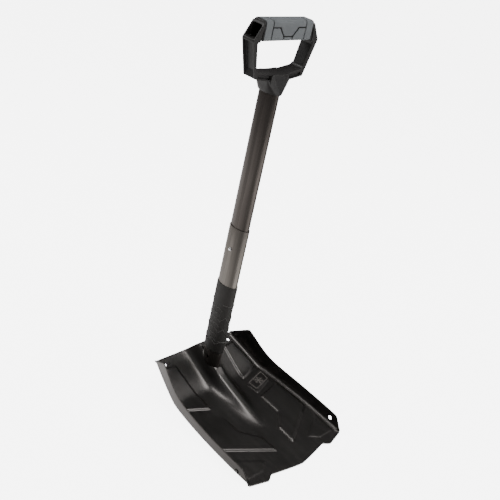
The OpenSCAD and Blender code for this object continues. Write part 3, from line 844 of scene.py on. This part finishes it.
def handle_ring(window):
    """The D: corner blocks, slanted legs, foot bar and the bare grip bar."""
    outline = both_sides([(TOP_X, TOP_Z), (WIDE_X, WIDE_Z), (FOOT_X, FOOT_Z), (YOKE_X, YOKE_Z)])
    ring = prism("handle_frame", rounded(outline, 2.0), HANDLE_Y0, HANDLE_Y1, "y")
    combine(ring, prism("window", window, HANDLE_Y0 - 2, HANDLE_Y1 + 2, "y"), "DIFFERENCE")
    for side in (-1, 1):
        for y_face, y_deep in ((HANDLE_Y0, HANDLE_Y0 + 2.4), (HANDLE_Y1, HANDLE_Y1 - 2.4)):
            combine(ring, leg_chamfer(side, y_face, y_deep), "DIFFERENCE")
    # the grip bar between the corner blocks is thinner, to take the rubber
    edge, low, high = BAR_END + 2.1, INNER_TOP_Z - 3, GRIP_Z + 3
    bar_space = prism("space", [(-edge, low), (edge, low), (edge, high), (-edge, high)],
                      HANDLE_Y0 - 2, HANDLE_Y1 + 2, "y")
    combine(ring, bar_space, "DIFFERENCE")
    bar = prism("bar", grip_section(PAD_PROUD), -BAR_END - 3, BAR_END + 3, "x")
    combine(ring, bar, "UNION")
    for side in (-1, 1):
        ends = sorted((side * BAR_END, side * (BAR_END + 1.7)))
        combine(ring, prism("end_ring", grip_section(0.7), *ends, "x"), "UNION")
    return ring


def leg_pocket(side):
    """A cutter down the outside of a leg, with a ramp at its foot."""
    lean = math.atan2(WIDE_X - FOOT_X, WIDE_Z - FOOT_Z)
    length = math.hypot(WIDE_X - FOOT_X, WIDE_Z - FOOT_Z)
    down = (-math.sin(lean), -math.cos(lean))
    into = (-math.cos(lean), math.sin(lean))
    outline = [(side * (WIDE_X + down[0] * along + into[0] * deep),
                WIDE_Z + down[1] * along + into[1] * deep)
               for along, deep in ((3, -4), (length - 1, -4), (length - 1, 0),
                                   (length - 11, 4.5), (3, 5.5))]
    return prism("pocket", outline, HANDLE_Y0 + 3.4, HANDLE_Y1 - 2.6, "y")


def grip_hollows(side):
    """Cutters for half of the hollow grip, which opens wide in the slanting corner face."""
    wall, mouth_wall = PAD_PROUD + 1.3, 2.6
    cutters = []
    for y0, y1, z0, z1, start in (
            (HANDLE_Y0 + wall, HANDLE_Y1 - wall, INNER_TOP_Z + 3.6, TOP_Z - 3.1, 4),
            (HANDLE_Y0 + mouth_wall, HANDLE_Y1 - mouth_wall, WIDE_Z + 2.2, TOP_Z - 2.9,
             BAND_X1 + 6.2)):
        hollow = rounded([(y0, z0), (y1, z0), (y1, z1), (y0, z1)], 2.5)
        ends = sorted((side * start, side * 75))
        cutters.append(prism("hollow", hollow, *ends, "x"))
    return cutters


def face_cutters(side):
    """The slot along the front of the foot bar, and the notches, front and back, between the
    corner block and the grip's end ring."""
    slot = [(side * x, z) for x, z in ((18.5, YOKE_Z + 8.2), (45, FOOT_Z + 6.6),
                                       (45, FOOT_Z + 1.6), (18.5, YOKE_Z + 1.6))]
    slot_deep, notch_deep = 3.6, 2.5
    high, low = TOP_Z - 4, INNER_TOP_Z - 3
    notch = [(side * (BAR_END + 2), high), (side * (BAR_END + 2.7), high),
             (side * (BAR_END + 5.4), low), (side * (BAR_END + 2), low)]
    return [prism("slot", slot, HANDLE_Y0 - 2, HANDLE_Y0 + slot_deep, "y"),
            prism("notch", notch, HANDLE_Y0 - 2, HANDLE_Y0 + notch_deep, "y"),
            prism("notch", notch, HANDLE_Y1 - notch_deep, HANDLE_Y1 + 2, "y")]


def handle_frame():
    window = hand_hole()
    ring = handle_ring(window)
    for side in (-1, 1):
        for cutter in [leg_pocket(side)] + grip_hollows(side) + face_cutters(side):
            combine(ring, cutter, "DIFFERENCE")
    body = joined([ring] + yoke(window))
    remesh(body, 0.55, 2)
    bore = prism("bore", oval(UPPER_A - 0.1, UPPER_B - 0.1), COLLAR_LOW_Z - 3,
                 UPPER_HIGH.z / MM - 0.1, "z")
    combine(body, bore, "DIFFERENCE")
    shade(body, 45)
    finish_piece(body, "upper_shaft", "handle_plastic", HANDLE_PLASTIC, "handle_frame")


def yoke(window):
    """The yoke spreads from the tube's oval collar to the foot bar, and to a flat block before
    and behind it. The hand hole cuts it off above."""
    collar = [(x, y, z) for z in (COLLAR_LOW_Z, COLLAR_LOW_Z + COLLAR_H)
              for x, y in oval(UPPER_A + COLLAR_T, UPPER_B + COLLAR_T, 72)]
    bar = [(x, y, z) for x in (-YOKE_X, YOKE_X) for y in (HANDLE_Y0, HANDLE_Y1)
           for z in (YOKE_Z, YOKE_Z + 1)]
    corners = []
    for y, waist_y in ((-15.0, -16.5), (13.5, 16.0)):
        for half_x, depth, z in ((BLOCK_TOP_X, y, INNER_FOOT_Z), (BLOCK_FOOT_X, y, YOKE_Z),
                                 (WAIST_X, waist_y, WAIST_Z)):
            corners += [(-half_x, depth, z), (half_x, depth, z)]
    block = hull("block", collar + corners)
    combine(block, prism("hand", window, -20, 20, "y"), "DIFFERENCE")
    return [hull("neck", collar + bar), block]


def remesh(piece, voxel, smoothing):
    """Merges overlapping solids into one skin and softens its edges."""
    step = piece.modifiers.new("remesh", "REMESH")
    step.mode = "VOXEL"
    step.voxel_size = voxel * MM
    step.use_smooth_shade = True
    smooth = piece.modifiers.new("smooth", "SMOOTH")
    smooth.factor = 0.5
    smooth.iterations = smoothing
    bake_modifiers(piece)
    outward(piece)


def grip_pad(name, outline, y0, y1):
    """A piece of the grip's rubber: its skin inside an outline in (x, z)."""
    xs = [x for x, _ in outline]
    piece = prism(name, grip_section(0), min(xs) - 2, max(xs) + 2, "x")
    combine(piece, prism("core", grip_section(PAD_PROUD - 0.05), min(xs) - 3, max(xs) + 3, "x"),
            "DIFFERENCE")
    combine(piece, prism("cut", rounded(outline, 0.8, 3), y0, y1, "y"), "INTERSECT")
    bevel(piece, 0.45, 2, 38)
    shade(piece, 40)
    finish_piece(piece, "upper_shaft", "grip_rubber", GRIP_RUBBER, name)


def grip_pads():
    """The bands, the panel over the top with a tongue down the front and the back, and the
    pads beside and below the tongues."""
    panel_z, foot_z = TOP_Z - 5.5, TOP_Z - 26
    drop_z, drop_top, drop_foot = TOP_Z - 18, 18.0, 8.0
    high = GRIP_Z + 2
    full = (HANDLE_Y0 - 2, HANDLE_Y1 + 2)
    front = (HANDLE_Y0 - 2, -1.0)
    back = (0.2, HANDLE_Y1 + 2)
    for side, word in ((-1, "left"), (1, "right")):
        band = [(side * BAND_X0, foot_z - 3), (side * BAND_X1, foot_z - 3), (side * BAND_X1, high),
                (side * BAND_X0, high)]
        grip_pad("grip_band_" + word, band, *full)
        pad = [(side * (drop_top + GROOVE), panel_z - GROOVE), (side * PAD_X, panel_z - GROOVE),
               (side * PAD_X, foot_z), (side * (drop_foot + GROOVE + 1), foot_z),
               (side * (drop_foot + GROOVE), drop_z - GROOVE)]
        grip_pad("grip_pad_front_" + word, pad, *front)
        grip_pad("grip_pad_rear_" + word, pad, *back)
    panel = both_sides([(PAD_X, high), (PAD_X, panel_z), (drop_top, panel_z), (drop_foot, drop_z)])
    grip_pad("grip_top_panel", panel, *full)
    centre = both_sides([(drop_foot - 0.4, drop_z - GROOVE), (drop_foot - 0.1, foot_z)])
    grip_pad("grip_pad_front_centre", centre, *front)
    grip_pad("grip_pad_rear_centre", centre, *back)


def handle_screw():
    low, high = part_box("handle_screw")
    centre_z = (low.z + high.z) / 2 / MM
    back = (high.y - AXIS_Y) / MM
    # from the shank's tip to the head, and down into the recess in the head
    profile = [(0.9, 0), (1.0, 0.2), (1.0, 8), (2.0, 8.2), (2.0, 9), (3.6, 9.1), (3.6, 9.7),
               (3.2, 10.1), (2.0, 10.4), (1.6, 10.4), (1.5, 8.8), (0.3, 8.6)]
    piece = lathe("handle_screw", profile, (0, back - 10.3, centre_z), (0, 1, 0))
    finish_piece(piece, "upper_shaft", "screw_steel", SCREW_STEEL, "handle_screw")


def dress_cad_nodes():
    """CAD pieces whose shape is right get softened edges and a real material."""
    looks = {"socket_saddle": ("blade_black", BLADE_BLACK, 0.4),
             "saddle_welds": ("weld_bead", WELD_BEAD, 0.5),
             "release_spring": ("spring_steel", SPRING_STEEL, 0.1),
             "telescope_spring": ("spring_steel", SPRING_STEEL, 0.1),
             "upper_tube_bush": ("bush_plastic", BUSH_PLASTIC, 0.3)}
    for node, (slot, material, width) in looks.items():
        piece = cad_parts[node]
        piece.data.materials.clear()
        piece.data.materials.append(material)
        step = piece.modifiers.new("bevel", "BEVEL")
        step.width = width * MM
        step.segments = 2
        step.limit_method = "ANGLE"
        step.angle_limit = math.radians(40)


# ---------------------------------------------------------------- stage, light and camera

def stage():
    """A white floor that curves up into a dome, seen by the camera alone so that it doesn't
    wash out the dark finishes; the world below gives the floor's light instead."""
    rings = [(0.02, 0), (1, 0), (4, 0), (7, 0)]
    rings += [(7 + 3 * math.sin(a), 3 - 3 * math.cos(a)) for a in np.radians((15, 35, 60, 90))]
    rings += [(10 * math.cos(a), 3 + 8 * math.sin(a)) for a in np.radians((20, 45, 70, 89))]
    count = 64
    points = [(radius * math.cos(t), radius * math.sin(t), height)
              for radius, height in rings for t in ring_turns(count)]
    faces = ring_faces(len(rings), count) + [list(range(count))]
    mesh = bpy.data.meshes.new("studio")
    mesh.from_pydata(points, [], faces)
    mesh.polygons.foreach_set("use_smooth", [True] * len(mesh.polygons))
    studio = bpy.data.objects.new("studio", mesh)
    studio.location.z = -0.0005
    bpy.context.scene.collection.objects.link(studio)
    material, nodes, links, shader = new_material("studio", (0.9, 0.9, 0.9), 0.9)
    shader.inputs["Emission Color"].default_value = (1, 1, 1, 1)
    shader.inputs["Emission Strength"].default_value = 6
    mesh.materials.append(material)
    studio.visible_diffuse = False
    studio.visible_glossy = False
    studio.visible_shadow = False


def softbox(name, direction, radiance):
    """A square soft light of the given radiance, aimed at the middle of the object."""
    middle, distance, size = Vector((0, 0, 0.25)), 2.2, 1.0
    lamp = bpy.data.lights.new(name, "AREA")
    lamp.shape = "SQUARE"
    lamp.size = size
    lamp.energy = radiance * size * size * math.pi
    holder = bpy.data.objects.new(name, lamp)
    aim = Vector(direction).normalized()
    holder.location = middle + aim * distance
    holder.rotation_euler = (-aim).to_track_quat("-Z", "Y").to_euler()
    holder.visible_camera = False
    bpy.context.scene.collection.objects.link(holder)


def lights():
    softbox("front_right", (0.68, -0.35, 0.62), 1.8)
    softbox("front", (0.3, -0.85, 0.42), 4.2)
    softbox("back_top", (-0.42, 0.55, 0.7), 6)
    softbox("overhead", (0.15, -0.1, 0.95), 7)
    world = bpy.data.worlds.new("studio")
    world.use_nodes = True
    nodes, links = world.node_tree.nodes, world.node_tree.links
    where = nodes.new("ShaderNodeTexCoord")

    def fade(direction, start, end, low, high):
        """Light that changes from low to high along a direction."""
        along = nodes.new("ShaderNodeVectorMath")
        along.operation = "DOT_PRODUCT"
        along.inputs[1].default_value = direction
        links.new(where.outputs["Generated"], along.inputs[0])
        step = nodes.new("ShaderNodeMapRange")
        step.interpolation_type = "SMOOTHSTEP"
        step.inputs["From Min"].default_value = start
        step.inputs["From Max"].default_value = end
        step.inputs["To Min"].default_value = low
        step.inputs["To Max"].default_value = high
        links.new(along.outputs["Value"], step.inputs["Value"])
        return step.outputs["Result"]

    def math_of(operation, first, second):
        node = nodes.new("ShaderNodeMath")
        node.operation = operation
        for socket, value in zip(node.inputs, (first, second)):
            if isinstance(value, float):
                socket.default_value = value
            else:
                links.new(value, socket)
        return node.outputs["Value"]

    # the floor is brightest behind and in front, and dark to the right and straight below
    back_left = fade((-0.5, 0.86, 0), 0.1, 0.8, 0.4, 1.5)
    floor = math_of("ADD", back_left, fade((-0.05, -1, 0), 0.6, 0.84, 0, 2.6))
    band = math_of("MULTIPLY", fade((0, 0, -1), 0.1, 0.36, 0, 1),
                   fade((0, 0, 1), -0.92, -0.75, 0.25, 1))
    total = math_of("ADD", math_of("MULTIPLY", floor, band), 0.12)
    links.new(total, nodes["Background"].inputs["Strength"])
    nodes["Background"].inputs["Color"].default_value = (1, 0.985, 0.97, 1)
    bpy.context.scene.world = world


def camera():
    """The camera stands in front and to the left, looking down and a little tilted."""
    azimuth, elevation, tilt = math.radians(50.2), math.radians(28.3), math.radians(12.9)
    spot = Vector((-809.2, -705.6, 540.6 + COLLAR_Z)) * MM + Vector((0, AXIS_Y, 0))
    ahead = Vector((math.sin(azimuth) * math.cos(elevation),
                    math.cos(azimuth) * math.cos(elevation), -math.sin(elevation)))
    right = Vector((math.cos(azimuth), -math.sin(azimuth), 0))
    up = right.cross(ahead)
    turned = right * math.cos(tilt) + up * math.sin(tilt)
    upward = up * math.cos(tilt) - right * math.sin(tilt)
    eye = bpy.data.cameras.new("camera")
    eye.sensor_width = 36
    eye.lens = 53.856
    holder = bpy.data.objects.new("camera", eye)
    turn = Matrix((turned, upward, -ahead)).transposed().to_4x4()
    holder.matrix_world = Matrix.Translation(spot) @ turn
    bpy.context.scene.collection.objects.link(holder)
    bpy.context.scene.camera = holder


camera()
lights()
stage()
blade()
emblem()
lower_tube()
upper_tube()
grip_sleeve()
snap_button("telescope_button", "telescope_button", -1, TELESCOPE_Z, "telescope_catch")
snap_button("release_button", "release_button", 1, RELEASE_Z, "release_catch")
handle_frame()
grip_pads()
handle_screw()
dress_cad_nodes()
